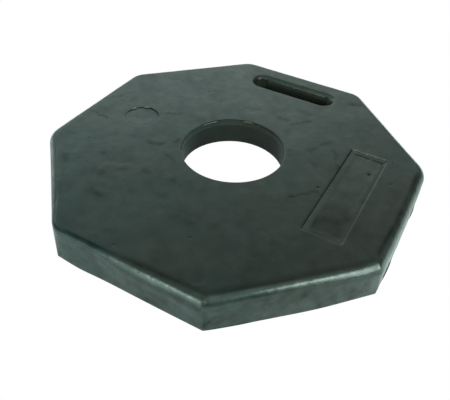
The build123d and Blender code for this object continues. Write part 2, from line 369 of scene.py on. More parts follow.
def shade_light_and_marks(node, p):
    """How much darker (above zero) or paler each vertex is than clean rubber: smears and dirt, together with painted
    shade, painted light and painted glints.
    """
    x, y = p[:, 0], p[:, 1]
    out = smears(x, y) * smooth((p[:, 2] - (H - 3.0)) / 2.0)
    if node == "rubber_body":
        deep = H - p[:, 2]
        r = np.hypot(x, y)
        # bore: painted shade in the groove under the mouth, a paler painted-light band below it, painted shade on the
        # wall further down
        deg = np.degrees(np.arctan2(y, x)) % 360.0
        lip, whole, groove = mouth(deg)
        edge = lip * (1 - np.cos(np.radians(50 + 40 * whole)))
        span = lambda a, b, e: smooth((deg - a) / e) * smooth((b - deg) / e)
        mid = span(104, 138, 6.0)
        band = (-0.2 - 0.35 * smooth((deg - 78) / 16) - 0.6 * mid) * smooth((deep - edge - 1.5 + 1.1 * mid) / 1.0)
        bore = np.where(deep < 7.4, band, 0.9 + 0.6 * (x / np.maximum(r, 1.0)) ** 2) + 0.25 * groove * (deep > edge + 0.1) * (deep < edge + 1.7)
        # painted glints on the flash in two stretches of the far lip
        glint = (4.0 * span(94, 108, 2.0) + 1.2 * span(136, 162, 3.0)) * smooth((deep - 0.8) / 0.3) * smooth((2.2 - deep) / 0.4)
        out = out + (r < 62.0) * ((deep > 0.4) * bore - glint)
        # hand slot: painted light on the sloped mouth, above all on the far side, and on the wall below the arris
        inside = d_slot(p[:, :2], 0.0) < 3.5
        back = smooth((y - SLOT_Y - 4.0) / 5.0)
        end = smooth((SLOT_X - SLOT_A + 1.0 - x) / 6.0)
        out = out + inside * (-2.2 * back * smooth((deep - 0.15) / 0.5) * smooth((3.0 - deep) / 1.5) - 2.0 * (1 - end) * smooth((deep - 3.9) / 0.6) * smooth((12.0 - deep) / 6.0))
        # painted shade at the left end of the slot, over a reflection on the slope and the arris
        tip = end * (1 - 0.5 * smooth((y - SLOT_Y - 2.0) / 4.0))
        out = out + inside * 0.8 * tip * smooth((deep - 0.8) / 0.6) * smooth((7.0 - deep) / 2.0)
        out = out + inside * 1.2 * end * smooth((deep - 2.4) / 0.6) * smooth((5.2 - deep) / 0.8)
        # edges of the long pocket: a painted glint along the far edge, a painted light line along the right edge,
        # darker towards the near end and at the near left corner
        e = d_box(p[:, :2], PL_X, PL_Y, PL_W, PL_L, PL_C)
        ridge = lambda c, w: np.exp(-((e - c) / w) ** 2) * (deep < 1.2) * (r > 100)
        ragged = 1 + 0.5 * noise2(x, y, 5.0, 84)
        far_end = smooth((y - (PL_Y + PL_L / 2 - 0.4)) / 0.4) * smooth((x - (PL_X - PL_W / 2) + 1.0) / 1.0)
        near_end = smooth((PL_Y - PL_L / 2 + 0.5 - y) / 0.5)
        right = smooth((x - (PL_X + PL_W / 2 - 0.5)) / 0.5)
        blob = np.exp(-((x - (PL_X - PL_W / 2 - 0.3)) ** 2 + (y - (PL_Y - PL_L / 2 + 1.5)) ** 2) / 6.0)
        out = out - 3.6 * ragged * ridge(0.4, 0.9) * far_end - ragged * ridge(0.9, 1.3) * (0.25 * near_end - 0.45 * right) + 0.5 * blob * (deep < 1.2)
        # painted shade along the long pocket's left edge
        out = out + 0.8 * ridge(0.7, 0.8) * smooth((PL_X - PL_W / 2 + 0.5 - x) / 0.5)
        # painted glints on the round pocket's two flash tags
        a = np.degrees(np.arctan2(y - DI_Y, x - DI_X)) % 360.0
        e = d_disc(p[:, :2], DI_X, DI_Y, DI_R)
        tag = np.exp(-((a - 111.0) / 9.0) ** 4) + np.exp(-((a - 154.0) / 8.0) ** 4)
        out = out - 6.0 * tag * np.exp(-((e + 0.6) / 1.25) ** 4) * (deep < 0.45)
        # sides: painted shade and light, and a painted shade line where the top edge starts to roll
        s = p[:, :2] @ NORMALS.T
        k = s.argmax(1)
        along = (p[:, :2] * np.c_[-NORMALS[:, 1], NORMALS[:, 0]][k]).sum(1)
        # painted shade and light on the sides
        for side, at, z, w, h, v in SIDE_SHADE_AND_LIGHT:
            q = ((along - at * AP * math.tan(math.pi / 8)) / w) ** 2 + ((p[:, 2] - z) / h) ** 2
            out = out + v * (k == side) * (s.max(1) > AP - 8) * np.exp(-q) * (1 + 0.5 * noise2(along, p[:, 2], 5.0, 85))
        # painted shade line where the roll starts, paler on the far right side
        line = np.array([2.0, -0.4, 0.4, 0.4, 0.5, 0.7, 1.3, 0.6])[k]
        left = (k == 6) * smooth((-6.0 - along) / 34.0)
        mid = (k == 7) * smooth((12.0 - along) / 20.0)
        far = (k == 0) * smooth((along - 60.0) / 16.0)
        at = np.array([4.2, 3.5, 3.5, 3.5, 3.5, 3.5, 4.7, 4.6])[k] - 2.4 * left + 0.6 * mid
        inward = d_rim(p[:, :2])
        out = out + (line * (1 - 0.8 * far) + 0.6 * left + 0.5 * mid) * smooth((along + 76.0) / 12.0) * np.exp(-((inward + at) / np.where(k == 0, 2.4, 1.3)) ** 2) * (deep < 4.0)
        # painted light: under the roll on the -Y side and on its left part, and on the roll beside the near right
        # corner
        out = out - 0.8 * (k == 6) * smooth((along + 45.0) / 30.0) * smooth((54.0 - along) / 20.0) * np.exp(-((deep - 7.4) / 1.8) ** 2) * (s.max(1) > AP - 8)
        out = out - 2.0 * (k == 0) * smooth((-36.0 - along) / 22.0) * np.exp(-((deep - 6.5) / 3.0) ** 2) * (s.max(1) > AP - 12)
        # painted highlight on the roll of the near right side, and a little painted shade further along
        out = out - (k == 7) * (1.0 * np.exp(-((along + 3.0) / 9.0) ** 2) - 0.35 * np.exp(-((along - 26.0) / 9.0) ** 2)) * np.exp(-((deep - 4.0) / 1.6) ** 2) * (s.max(1) > AP - 8)
        out = out - 0.9 * left * smooth((deep - 1.6) / 1.4) * smooth((5.0 - deep) / 2.0)
        # painted shade on the roll at the near left corner, with a paler line where it starts
        heel = (k == 6) * smooth((-70.0 - along) / 10.0) + (k == 5) * smooth((along - 70.0) / 10.0)
        out = out + heel * (2.0 * smooth((-1.8 - inward) / 2.0) * (deep < 8.0) - 0.9 * np.exp(-((inward + 1.4) / 1.5) ** 2))
        # painted highlights on the rolls beside the near corner
        turn = (k == 6) * (0.8 * smooth((along - 46.0) / 14.0) + 0.2 * smooth((along - 68.0) / 10.0)) + (k == 7) * (0.4 + 0.6 * smooth((-50.0 - along) / 25.0)) * smooth((-12.0 - along) / 20.0)
        out = out - 1.9 * turn * np.exp(-((inward + np.where(k == 7, 8.0, 6.2)) / 2.5) ** 2) * (deep < 5.0)
        # painted shade under the -Y roll by the near corner
        out = out + 0.75 * (k == 6) * smooth((along - 62.0) / 14.0) * np.exp(-((deep - 5.0) / 2.4) ** 2) * (s.max(1) > AP - 8)
        # painted light on the near right side by the near right corner
        out = out - 1.1 * (k == 7) * smooth((along - 69.0) / 12.0) * smooth((deep - 9.0) / 4.0) * smooth((36.0 - deep) / 8.0) * (s.max(1) > AP - 14)
        # painted highlights on the rolls of the -Y side and the near right side
        bright = (k == 7) * (smooth((along - 22.0) / 12.0) * smooth((66.0 - along) / 12.0) + 1.2 * np.exp(-((along - 5.0) / 6.0) ** 2)) + (k == 6) * smooth((along - 5.0) / 15.0) * smooth((69.0 - along) / 10.0)
        out = out - 0.45 * bright * np.exp(-((deep - 4.2) / 1.8) ** 2) * (s.max(1) > AP - 8)
        # painted shade along the foot of the +X side
        out = out + 1.2 * (k == 0) * (deep > H - 0.9)
        # far right side and corner: painted light along the roll, painted shade where the near part of the roll begins;
        # a darker strip on the top face along the +X side
        out = out - 2.6 * (k == 1) * np.exp(-((inward + 7.5) / 3.0) ** 2) * (deep < 9.0)
        out = out - 0.9 * (far + (k == 1) * smooth((-62.0 - along) / 14.0)) * np.exp(-((inward + 2.5) / 2.5) ** 2) * (deep < 3.0)
        out = out + 1.3 * (far + (k == 1) * smooth((-72.0 - along) / 8.0)) * np.exp(-((deep - 7.0) / 4.0) ** 2) * (s.max(1) > AP - 9)
        strip = (k == 0) * smooth((60.0 - along) / 40.0) * (deep < 2.5)
        out = out + strip * 0.3 * np.exp(-((inward - 5.0) / 9.0) ** 2)
    if node == "inlay_plate":
        d = d_field(p[:, :2]) + 1.0 * noise2(x, y, 8.0, 81)
        near = smooth((15.0 - y) / 85.0)
        field = smooth(d / 2.4)
        out = out + field * (-0.5 + 1.2 * near + 0.6 * smooth((-46.0 - y) / 14.0) * smooth((141.0 - x) / 16.0) + 0.4 * noise2(x, y, 9.0, 82)) - 0.9 * (1 - smooth((d + 2.5) / 2.5)) * near
        # painted shade along the plate's left edge, with a paler strip beside it
        bank = x - (PL_X - PL_W / 2 + 0.3)
        out = out + 0.8 * (1 - smooth((bank - 1.0) / 1.6)) - 0.3 * np.exp(-((bank - 4.2) / 2.0) ** 2)
    if node == "inlay_disc":
        out = out + 0.3 * smooth((y - DI_Y - 9.0 + 2.0 * noise2(x, y, 7.0, 83)) / 9.0)
        # shade under the far edge
        a = np.degrees(np.arctan2(y - DI_Y, x - DI_X)) % 360.0
        under = smooth((a - 34) / 14) * smooth((100 - a) / 8) + smooth((a - 163) / 6) * smooth((188 - a) / 10)
        out = out + 1.8 * under * smooth((np.hypot(x - DI_X, y - DI_Y) - 17.6) / 1.4)
    return out.astype(np.float32)


def place(me, name, body, node, material, angle=40.0):
    ob = bpy.data.objects.new(name, me)
    bpy.context.scene.collection.objects.link(ob)
    me.materials.append(material)
    for p in me.polygons:
        p.use_smooth = True
    me.set_sharp_from_angle(angle=math.radians(angle))
    co = np.zeros(len(me.vertices) * 3)
    me.vertices.foreach_get("co", co)
    co = co.reshape(-1, 3) / MM
    # per-vertex smears and dirt together with painted shade, light and glints
    me.attributes.new("shade_light_mark", "FLOAT", "POINT").data.foreach_set("value", shade_light_and_marks(node, co))
    side = smooth(((co[:, :2] @ NORMALS.T).max(1) - AP + 9.0) / 5.0)
    hole = (co[:, 2] < H - 0.8) & ((np.hypot(co[:, 0], co[:, 1]) < 62.0) | (d_slot(co[:, :2], 0.0) < 2.5))
    me.attributes.new("coarse", "FLOAT", "POINT").data.foreach_set("value", np.where(hole, 0.0, 1 + 1.1 * side).astype(np.float32))
    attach(ob, body)
    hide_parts(node)
    return ob


# -------------------------------------------------------- distances on the top
def d_rim(p):
    """Distance inside the edge of the flat top face, positive inside."""
    along = np.c_[-NORMALS[:, 1], NORMALS[:, 0]]
    q = p
    for _ in range(6):
        q = p - worn(q)
    p = q
    s = p @ NORMALS.T
    k = s.argmax(1)
    inner = np.maximum(RC_TOP - np.array(RIM_CORNER), TOP_MIN)
    centre = AP - np.array(RIM_CORNER) - inner
    run = centre * math.tan(math.pi / 8)
    u = np.clip(2 * ((p * along[k]).sum(1) + run[k - 1]) / (run[k - 1] + run[k]) - 1, -1, 1)
    flat = AP - rim_radius(k, u) - s.max(1)
    i = np.floor((np.degrees(np.arctan2(p[:, 1], p[:, 0])) % 360.0) / 45.0).astype(int) % 8
    q = p - CORNERS[i] * centre[i][:, None]
    a = np.degrees(np.arctan2(q[:, 1], q[:, 0])) % 360.0 - i * 45.0
    a = np.where(a < -180, a + 360, a)
    return np.where((a > 0) & (a < 45), inner[i] - np.hypot(q[:, 0], q[:, 1]), flat)


def d_slot(p, offset):
    dx = np.maximum(np.abs(p[:, 0] - SLOT_X) - SLOT_A, 0.0)
    return np.hypot(dx, p[:, 1] - SLOT_Y) - (SLOT_R + offset)


def d_box(p, x, y, w, l, rc):
    q = np.abs(p - np.array([x, y])) - np.array([w / 2 - rc, l / 2 - rc])
    return np.hypot(np.maximum(q[:, 0], 0), np.maximum(q[:, 1], 0)) + np.minimum(np.maximum(q[:, 0], q[:, 1]), 0) - rc


def d_disc(p, x, y, r):
    return np.hypot(p[:, 0] - x, p[:, 1] - y) - r


# ------------------------------------------------------------------ the block
def build_block():
    s = Shell()
    # outside: rounded bottom edge, side, rolled rim
    xy, nrm, rad = outline(RC_FLOOR, 1.0)
    out = outline(RC_FLOOR, 1.0, 0.0, 1.0)[0]
    loops = [lift(out - nrm * inset, z) for z, inset in ((0.0, 0.3), (0.1, 0.1), (0.3, 0.0), (0.55, 0.05))] + [lift(xy, 1.0)]
    for u in np.linspace(0, 1, 12)[1:]:
        xy = outline(RC_FLOOR + (RC_TOP - RC_FLOOR) * u, 1.0 - u)[0]
        loops.append(lift(xy, 1.0 + (H - rad - 1.0) * u))
    for t in np.linspace(0, math.pi / 2, 21)[1:]:
        loops.append(lift(outline(RC_TOP, 0.0, 1 - math.cos(t))[0], H - rad + rad * math.sin(t)))
    s.strip(loops)
    rim = loops[-1][:, :2]
    under = loops[0][:, :2]

    # bore: rolled mouth, whole in two stretches and torn back to a groove between them, top band, wall, foot recess
    n = 360
    t = np.linspace(0, 2 * math.pi, n, endpoint=False)
    deg = np.degrees(t)
    cx, sx = np.cos(t), np.sin(t)
    lip, whole, groove = mouth(deg)
    top = np.radians(50 + 40 * whole)
    ring = lambda r, z: np.c_[np.broadcast_to(r, (n,)) * cx, np.broadcast_to(r, (n,)) * sx, np.broadcast_to(z, (n,))]
    # flash that stands out over the wall, most on the -X side
    over = 0.7 * groove + 0.8 * smooth((deg - 135) / 4) * smooth((166 - deg) / 6) + 1.5 * smooth((deg - 158) / 8) * smooth((212 - deg) / 14)
    bore = [ring(63.2, H), ring(BORE_R + lip + 0.4, H)]
    bore += [ring(BORE_R + lip * (1 - np.sin(top * u)) - over * u, H - lip * (1 - np.cos(top * u))) for u in np.linspace(0, 1, 9)]
    edge = H - lip * (1 - np.cos(top))
    bore += [ring(BORE_R + 0.06 + 0.25 * groove, edge - 0.3), ring(BORE_R + 0.06 + 0.4 * groove, edge - 0.7),
             ring(BORE_R + 0.06 + 0.4 * groove, edge - 1.55)]
    bore += [ring(BORE_R + 0.06 - 0.56 * u, (edge - 1.5) * (1 - u) + (H - 7.0) * u) for u in (0.0, 0.12, 0.3, 0.5, 0.75, 1.0)]
    bore += [ring(BORE_R - 0.46, H - 7.35), ring(BORE_R - 0.1, H - 7.6), ring(BORE_R, H - 8.2)]
    # the wall opens a little towards the floor at both ends of the seen width
    wide = 0.7 * np.exp(-((deg - 168) / 26) ** 2) + 0.9 * (np.exp(-((deg - 12) / 24) ** 2) + np.exp(-((deg - 372) / 24) ** 2))
    low = lambda z: BORE_R + wide * smooth((H - 8.2 - z) / (H - 8.2 - FOOT_D))
    bore += [ring(low(z), z) for z in np.linspace(H - 9.5, FOOT_D + 0.5, 9)]
    bore += [ring(low(FOOT_D) + 0.08, FOOT_D + 0.1), ring(low(FOOT_D) + 0.4, FOOT_D)]
    bore += [ring(r, FOOT_D) for r in (63.0, 70.0, 78.3)]
    bore += [ring(FOOT_R - 1.5 + 1.5 * math.sin(a), FOOT_D - 1.5 + 1.5 * math.cos(a)) for a in np.linspace(0, math.pi / 2, 5)[1:]]
    bore += [ring(FOOT_R, 1.0), ring(FOOT_R + 0.2, 0.2), ring(FOOT_R + 0.8, 0.0)]
    s.strip(bore)

    # hand slot: rolled lip, widest on the far side, sloped mouth, arris, straight wall
    xy, nrm = stadium()
    nx, ny = nrm[:, 0], nrm[:, 1]
    slope = math.radians(SLOT_SLOPE)
    roll = 2.5 + 3.3 * smooth((ny + 0.6) / 1.2) + 3.0 * np.maximum(nx, 0)
    start = 1.7 - 1.8 * smooth((ny - 0.3) / 0.7) + 0.3 * np.maximum(-nx, 0) + 1.1 * np.maximum(nx, 0) + 2.2 * np.maximum(-nx, 0) * np.maximum(ny, 0)
    arris = np.full(len(xy), 0.45)
    run = (SLOT_ARRIS - roll * (1 - math.cos(slope))) / math.sin(slope)
    ring = lambda o, z: np.c_[xy + nrm * np.broadcast_to(o, (len(xy),))[:, None], np.broadcast_to(z, (len(xy),))]
    slot = [ring(start - roll * math.sin(d), H - roll * (1 - math.cos(d))) for d in np.linspace(0, slope, 10)]
    o2 = start - roll * math.sin(slope) - run * math.cos(slope)
    trim = np.minimum(arris * math.tan((math.pi / 2 - slope) / 2), 0.9 * run)
    arris = trim / math.tan((math.pi / 2 - slope) / 2)
    for d in np.linspace(slope, math.pi / 2, 8):
        slot.append(ring(o2 + arris * (1 - math.sin(d)), H - SLOT_ARRIS - trim + arris * math.cos(d)))
    slot += [ring(o2 + o, H - SLOT_ARRIS - trim - d) for o, d in ((0.0, 1.2), (0.0, 3.0), (0.0, 5.0), (0.0, 7.5), (0.0, 11.0), (0.0, 16.0), (0.0, 22.0), (0.1, 27.0))]
    slot += [ring(o2 + o, z) for o, z in ((0.2, 2.2), (0.5, 0.9), (1.3, 0.2), (2.3, 0.0))]
    s.strip(slot)

    # pocket of the long inlay: soft lip, a sloped one on the -X side, a raised bead of flash at the far end
    loop = lambda e: rounded_box(PL_X, PL_Y, PL_W + 2 * e, PL_L + 2 * e, PL_C + e)
    xy = loop(0.0)
    left = smooth((PL_X - PL_W / 2 + 1.5 - xy[:, 0]) / 1.5)
    back_edge = smooth((xy[:, 1] - (PL_Y + PL_L / 2 - 1.6)) / 1.4) * (1 - left)
    corner = np.exp(-((xy[:, 0] - (PL_X - PL_W / 2)) ** 2 + (xy[:, 1] - (PL_Y - PL_L / 2 + 1)) ** 2) / 7.0)
    left = left * (1 - 0.9 * corner)
    rough_edge = 1 + 0.30 * noise2(xy[:, 0], xy[:, 1], 6.0, 33) + 0.2 * noise2(xy[:, 0], xy[:, 1], 2.6, 34)
    soft = ((2.6, 0.0), (2.2, -0.02), (1.85, -0.08), (1.5, -0.17), (1.1, -0.28), (0.7, -0.38), (0.4, -0.45), (0.2, -0.49), (0.05, -0.56),
            (0.0, -0.7), (0.0, -1.2), (0.0, -2.4), (0.0, PL_FLOOR - H))
    cut = ((2.6, 0.0), (2.1, -0.01), (1.7, -0.06), (1.3, -0.2), (0.95, -0.4), (0.62, -0.64), (0.35, -0.86), (0.15, -1.02), (0.03, -1.16),
           (0.0, -1.35), (0.0, -1.8), (0.0, -2.6), (0.0, PL_FLOOR - H))
    bead = ((2.6, 0.0), (1.9, 0.04), (1.4, 0.1), (1.0, 0.16), (0.6, 0.18), (0.3, 0.12), (0.1, 0.0), (0.0, -0.15), (-0.02, -0.3),
            (0.0, -0.6), (0.0, -1.2), (0.0, -2.4), (0.0, PL_FLOOR - H))
    pocket = []
    for (e1, z1), (e2, z2), (e3, z3) in zip(soft, cut, bead):
        z3 = z3 * rough_edge if z3 > 0 else z3
        flat = loop(e1) * (1 - left - back_edge)[:, None] + loop(e2) * left[:, None] + loop(e3) * back_edge[:, None]
        z = z1 * (1 - left - back_edge) + z2 * left + z3 * back_edge
        pocket.append(np.c_[flat, H + z + 0.3 * corner * math.exp(-((e1 - 0.8) / 0.8) ** 2) * (z1 > -1.0)])
    s.strip(pocket)
    floor_in = lambda p: -d_box(p, PL_X, PL_Y, PL_W, PL_L, PL_C)
    s.region(loop(0.0), [], floor_in, PL_FLOOR, 9.0, clear=3.0)

    # pocket of the round inlay: sharp far edge with two rolled tags of flash, soft near edge
    m = 240
    t2 = np.linspace(0, 2 * math.pi, m, endpoint=False)
    a2 = np.degrees(t2)
    tag = np.exp(-((a2 - 111) / 9) ** 4) + np.exp(-((a2 - 154) / 8) ** 4)
    near = np.maximum(smooth((0.25 - np.sin(t2)) / 0.5), smooth((46.0 - a2) / 24.0))
    crisp = ((2.6, 0.0), (1.6, 0.0), (0.9, 0.0), (0.5, 0.0), (0.3, -0.02), (0.14, -0.07), (0.05, -0.16), (0.0, -0.32), (0.0, -0.6), (0.0, -1.4), (0.0, -3.6))
    soft = ((2.6, 0.0), (2.1, 0.0), (1.7, -0.01), (1.2, -0.03), (0.8, -0.06), (0.5, -0.09), (0.25, -0.12), (0.08, -0.16), (0.0, -0.3), (0.0, -1.4), (0.0, -3.6))
    bead = ((2.6, 0.0), (1.4, 0.03), (0.6, 0.08), (0.0, 0.12), (-0.5, 0.12), (-1.0, 0.06), (-1.4, -0.06), (-1.6, -0.22), (-1.3, -0.42), (0.0, -0.7), (0.0, -3.6))
    well = []
    for (e1, z1), (e2, z2), (e3, z3) in zip(crisp, soft, bead):
        w1, w2 = (1 - near) * (1 - tag), near * (1 - tag)
        r = DI_R + e1 * w1 + e2 * w2 + e3 * tag
        well.append(np.c_[DI_X + r * np.cos(t2), DI_Y + r * np.sin(t2), H + z1 * w1 + z2 * w2 + z3 * tag])
    s.strip(well)
    well_in = lambda p: -d_disc(p, DI_X, DI_Y, DI_R)
    s.region(circle(DI_X, DI_Y, DI_R, m), [], well_in, DI_FLOOR, 6.0, clear=2.0)

    # top face between all of those
    def top_in(p):
        return np.minimum.reduce([
            d_rim(p), np.hypot(p[:, 0], p[:, 1]) - 63.2, d_slot(p, 2.9),
            d_box(p, PL_X, PL_Y, PL_W + 5.2, PL_L + 5.2, PL_C + 2.6), d_disc(p, DI_X, DI_Y, DI_R + 2.6)])
    fine = [(x + r * q * math.cos(a), y + r * q * math.sin(a)) for x, y, r, _ in PITS
            for q, k in ((0.0, 1), (0.35, 8), (0.7, 10), (1.05, 12), (1.5, 14), (2.0, 16)) for a in np.linspace(0, 2 * math.pi, k, endpoint=False)]
    s.region(rim, [bore[0][:, :2], slot[0][:, :2], pocket[0][:, :2], well[0][:, :2]], top_in, H, 2.0, extra=fine, clear=1.0)

    # underside
    def under_in(p):
        return np.minimum.reduce([AP - (p @ NORMALS.T).max(1), np.hypot(p[:, 0], p[:, 1]) - (FOOT_R + 0.8), d_slot(p, 0.3)])
    s.region(under, [bore[-1][:, :2], slot[-1][:, :2]], under_in, 0.0, 9.0, clear=7.0, down=True)
    return s.mesh("block", after=settle)


# ----------------------------------------------------------------- the inlays
def box_loop(x0, x1, y0, y1, rc):
    return rounded_box((x0 + x1) / 2, (y0 + y1) / 2, x1 - x0, y1 - y0, rc)


def d_field(p):
    """Distance inside the plate's plain field."""
    x0, x1, y0, y1 = FIELD
    return -d_box(p, (x0 + x1) / 2, (y0 + y1) / 2, x1 - x0, y1 - y0, 3.0)


def build_plate():
    """Long inlay: rim a little below the top face, a soft-edged plain field, and a broken groove at its far end."""
    s = Shell()
    top = H - PL_DROP
    x0, x1 = PL_X - PL_W / 2 + 0.3, PL_X + PL_W / 2 - 0.1
    y0, y1 = PL_Y - PL_L / 2 + 0.1, PL_Y + PL_L / 2 - 0.1
    loop = lambda e: box_loop(x0 + e, x1 - e, y0 + e, y1 - e, max(PL_C - 0.2 - e, 0.4))
    edge = loop(0.0)
    open_ = smooth((x0 + 1.4 - edge[:, 0]) / 1.0)
    bank = lambda e, d, e2, d2: np.c_[loop(e) * (1 - open_)[:, None] + loop(e2) * open_[:, None], top - d * (1 - open_) - d2 * open_]
    rings = [lift(edge, PL_FLOOR), lift(edge, PL_FLOOR + 1.2), lift(edge, top - 1.4), bank(0.0, 0.14, 0.0, 0.75),
             bank(0.05, 0.04, 0.2, 0.45), bank(0.15, 0.0, 0.6, 0.15), bank(0.7, 0.0, 1.3, 0.0)]
    s.strip(rings)
    whole = lambda p: -d_box(p, (x0 + x1) / 2, (y0 + y1) / 2, x1 - x0, y1 - y0, PL_C - 0.2)
    s.region(loop(0.0), [], whole, PL_FLOOR, 9.0, clear=3.0, down=True)
    d_face = lambda p: np.minimum(-d_box(p, (x0 + x1) / 2, (y0 + y1) / 2, x1 - x0 - 1.4, y1 - y0 - 1.4, max(PL_C - 0.9, 0.4)), p[:, 0] - x0 - 1.3)
    s.region(rings[-1][:, :2], [], d_face, top, 0.95, clear=0.45)

    def after(p):
        p = np.array(p)
        up = smooth((p[:, 2] - PL_FLOOR) / (top - 0.6 - PL_FLOOR))
        face = (p[:, 2] > top - 0.01).astype(float)
        x, y = p[:, 0], p[:, 1]
        dz = 0.05 * noise2(x, y, 16.0, 51) + 0.025 * noise2(x, y, 6.0, 52)
        dz = dz - 0.26 * smooth((d_field(p[:, :2]) + 0.8 * noise2(x, y, 8.0, 53) + 0.6) / 4.4)
        groove = np.exp(-((y - 64.0 + 0.3 * noise2(x, y, 4.0, 54)) / 1.35) ** 4)
        groove *= smooth((x - 120.6) / 1.5) * smooth((155.4 - x) / 1.5) * (1 - np.exp(-((x - 140.6) / 1.5) ** 4))
        dz = dz - 0.6 * groove * face
        for px, py, r, d in PLATE_PITS:
            dz = dz - face * d * np.exp(-(np.hypot(x - px, y - py) / r) ** 2 * 1.6)
        p[:, 2] += up * dz
        return settle(p)
    return s.mesh("plate", after=after)


def build_disc():
    """Round inlay: plain face a little below the top face."""
    s = Shell()
    x, y, r = DI_X, DI_Y, DI_R - 0.12
    top = H - DI_DROP
    m = 240
    c = lambda q, z: lift(circle(x, y, q, m), z)
    s.strip([c(r, DI_FLOOR), c(r, DI_FLOOR + 1.2), c(r, top - 0.4), c(r, top - 0.12), c(r - 0.05, top - 0.04), c(r - 0.15, top - 0.01), c(r - 0.6, top)])
    s.region(circle(x, y, r, m), [], lambda p: -d_disc(p, x, y, r), DI_FLOOR, 6.0, clear=2.0, down=True)
    s.region(circle(x, y, r - 0.6, m), [], lambda p: -d_disc(p, x, y, r - 0.6), top, 1.2, clear=0.5)

    def after(p):
        p = np.array(p)
        up = smooth((p[:, 2] - DI_FLOOR) / (top - DI_FLOOR))
        p[:, 2] += up * (0.05 * noise2(p[:, 0], p[:, 1], 9.0, 61) + 0.025 * noise2(p[:, 0], p[:, 1], 4.0, 62) - DI_LEAN * (p[:, 1] - y))
        return settle(p)
    return s.mesh("disc", after=after)


# ------------------------------------------------------------------ materials
def rubber(name, tone=1.0, rough=0.26):
    """Moulded rubber: cloudy tone, rubbed smears, painted shade and highlights from the vertex attribute, uneven sheen
    and a fine grain, strongest on the sides.
    """
    mat = bpy.data.materials.new(name)
    mat.use_nodes = True
    nt = mat.node_tree
    nt.nodes.clear()
    N = lambda kind, **kw: _node(nt, kind, **kw)
    link = nt.links.new
    out = N("ShaderNodeOutputMaterial")
    bsdf = N("ShaderNodeBsdfPrincipled")
    link(bsdf.outputs[0], out.inputs[0])
    geo = N("ShaderNodeNewGeometry")
    pos = geo.outputs["Position"]

    def noise(scale, detail=4.0, roughness=0.55):
        n = N("ShaderNodeTexNoise", Scale=scale, Detail=detail, Roughness=roughness)
        link(pos, n.inputs["Vector"])
        return n.outputs["Fac"]

    def remap(value, a0, a1, b0, b1):
        m = N("ShaderNodeMapRange")
        for k, v in (("From Min", a0), ("From Max", a1), ("To Min", b0), ("To Max", b1)):
            m.inputs[k].default_value = v
        link(value, m.inputs["Value"])
        return m.outputs[0]

    def math_(op, x, y):
        m = N("ShaderNodeMath")
        m.operation = op
        for i, v in enumerate((x, y)):
            if isinstance(v, (int, float)):
                m.inputs[i].default_value = v
            else:
                link(v, m.inputs[i])
        return m.outputs[0]

    # how dark each spot is: the rubbed smears with the painted shade and highlights, cloudy patches and finer mottling
    attr = N("ShaderNodeAttribute")
    attr.attribute_name = "shade_light_mark"
    cloud = remap(noise(30.0, 3.0), 0.3, 0.7, -0.42, 0.42)
    mottle = remap(noise(85.0, 3.0, 0.5), 0.3, 0.7, -0.42, 0.42)
    coarse = N("ShaderNodeAttribute")
    coarse.attribute_name = "coarse"
    upright = coarse.outputs["Fac"]
    dark = math_("ADD", attr.outputs["Fac"], math_("ADD", cloud, math_("MULTIPLY", mottle, upright)))

    # base colour: from a greener to a browner dark grey across the block, drifting slowly, dulled where it is dark
    ramp = N("ShaderNodeValToRGB")
    ramp.color_ramp.elements[0].position = 0.34
    ramp.color_ramp.elements[0].color = (0.0090 * tone, 0.0190 * tone, 0.0174 * tone, 1)
    ramp.color_ramp.elements[1].position = 0.68
    ramp.color_ramp.elements[1].color = (0.0205 * tone, 0.0200 * tone, 0.0158 * tone, 1)
    place_ = N("ShaderNodeSeparateXYZ")
    link(pos, place_.inputs[0])
    drift = math_("ADD", remap(place_.outputs["X"], -0.16, 0.16, 0.38, 0.62), remap(noise(17.0, 3.0), 0.3, 0.7, -0.10, 0.10))
    link(math_("ADD", drift, remap(upright, 0.0, 2.1, 0.10, -0.11)), ramp.inputs["Fac"])
    shade = N("ShaderNodeMixRGB")
    shade.blend_type = "MULTIPLY"
    shade.inputs["Fac"].default_value = 1.0
    link(ramp.outputs["Color"], shade.inputs[1])
    link(math_("MULTIPLY", remap(dark, -1.0, 3.0, 1.30, 0.22), remap(dark, -6.0, -1.0, 4.5, 1.0)), shade.inputs[2])
    link(shade.outputs[0], bsdf.inputs["Base Color"])

    # the painted shade and light also lowers or raises the sheen
    link(remap(dark, -1.0, 3.0, 0.62, 0.10), bsdf.inputs["Specular IOR Level"])
    sheen = remap(noise(34.0, 5.0, 0.6), 0.3, 0.7, rough - 0.05, rough + 0.05)
    link(math_("ADD", sheen, remap(dark, -1.0, 3.0, -0.02, 0.08)), bsdf.inputs["Roughness"])

    # grain and slight orange peel
    height = math_("ADD", math_("MULTIPLY", noise(900.0, 3.0, 0.6), 0.10), math_("MULTIPLY", noise(170.0, 3.0, 0.5), upright))
    bump = N("ShaderNodeBump")
    bump.inputs["Strength"].default_value = 0.14
    bump.inputs["Distance"].default_value = 0.0006
    link(height, bump.inputs["Height"])
    link(bump.outputs[0], bsdf.inputs["Normal"])
    bsdf.inputs["Specular Tint"].default_value = (0.90, 1.0, 0.95, 1)
    return mat


def _node(nt, kind, **values):
    n = nt.nodes.new(kind)
    for k, v in values.items():
        n.inputs[k].default_value = v
    return n


rubber_body = rubber("rubber_satin")
rubber_inlay = rubber("rubber_matt", tone=0.97, rough=0.29)

block = place(build_block(), "rubber_block", "root", "rubber_body", rubber_body)
plate = place(build_plate(), "blank_plate", "root", "inlay_plate", rubber_inlay)
disc = place(build_disc(), "blank_disc", "root", "inlay_disc", rubber_inlay)


